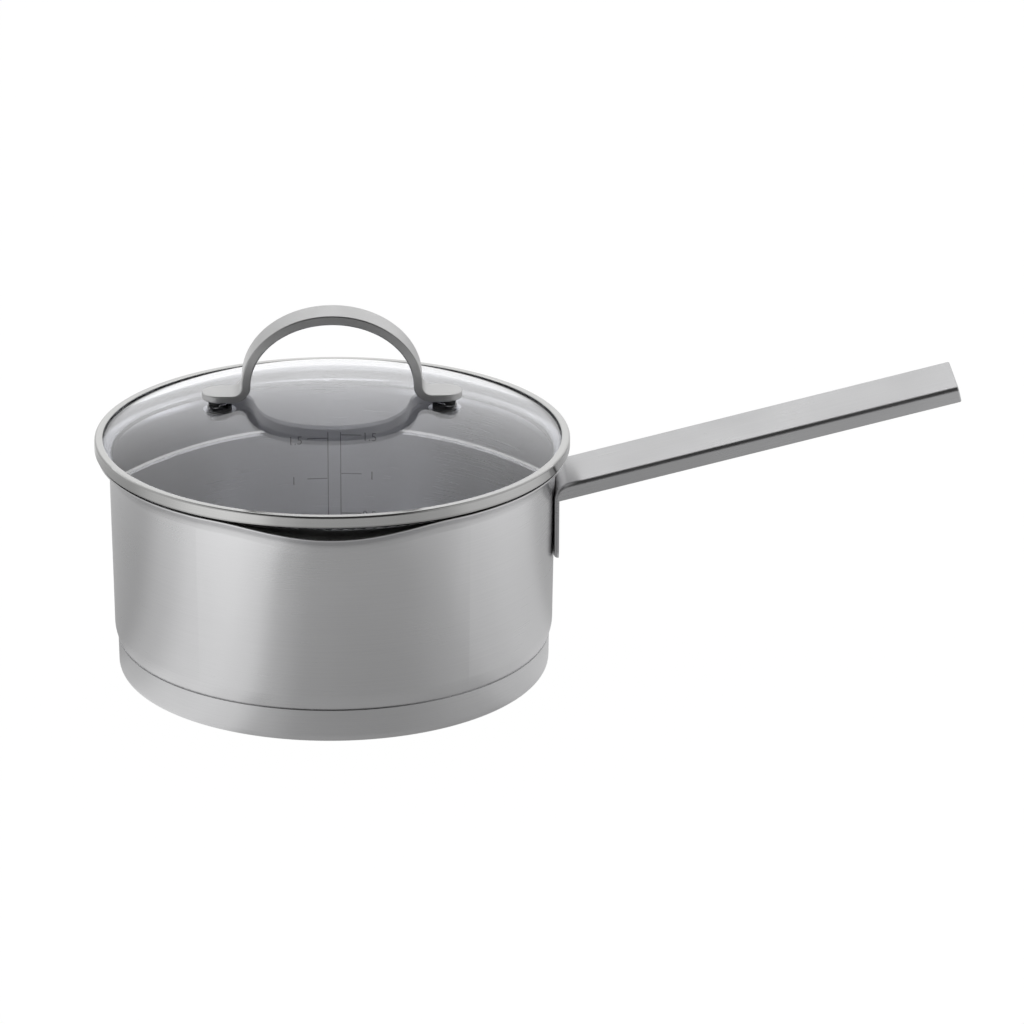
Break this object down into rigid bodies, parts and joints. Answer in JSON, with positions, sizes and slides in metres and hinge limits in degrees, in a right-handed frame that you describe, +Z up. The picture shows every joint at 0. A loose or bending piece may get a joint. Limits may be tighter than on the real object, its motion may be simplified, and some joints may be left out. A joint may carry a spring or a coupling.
{
  "type": "saucepan with glass lid",
  "caption": "Steel saucepan with a capsule base, pouring spout and long flat handle, and a loose domed glass lid with a steel rim and an arched steel handle.",
  "frame": {"origin": "centre of the base where it stands on the table", "axes": "+Z up through the pan's axis; +X along the long handle; the pouring spout faces -Y"},
  "size_m": [0.3506, 0.1944, 0.1515],
  "materials": {
    "pan_steel": "satin stainless steel, brushed round the pan",
    "base_steel": "satin stainless steel, turned",
    "core_aluminium": "plain, sealed inside the base",
    "handle_steel": "satin stainless steel, brushed along the handle",
    "lid_glass": "clear toughened glass",
    "rim_steel": "bright rolled stainless steel",
    "bow_steel": "satin stainless steel",
    "fixing_steel": "turned stainless steel",
    "silicone": "matt black silicone"
  },
  "bodies": {
    "pan": {"pan_body": "pan_steel", "base_core": "core_aluminium", "base_cap": "base_steel", "handle_shell": "handle_steel", "handle_plate": "handle_steel", "handle_welds": "handle_steel"},
    "lid": {"lid_glass": "lid_glass", "lid_rim": "rim_steel", "lid_handle": "bow_steel", "lid_boss_left": "fixing_steel", "lid_gasket_upper_left": "silicone", "lid_gasket_lower_left": "silicone", "lid_washer_left": "fixing_steel", "lid_screw_left": "fixing_steel", "lid_boss_right": "fixing_steel", "lid_gasket_upper_right": "silicone", "lid_gasket_lower_right": "silicone", "lid_washer_right": "fixing_steel", "lid_screw_right": "fixing_steel"}
  },
  "joints": [
    {"name": "lid_lift", "type": "slide", "parent": "pan", "child": "lid", "axis": [0, 0, 1], "range_m": [0, 0.2]}
  ]
}
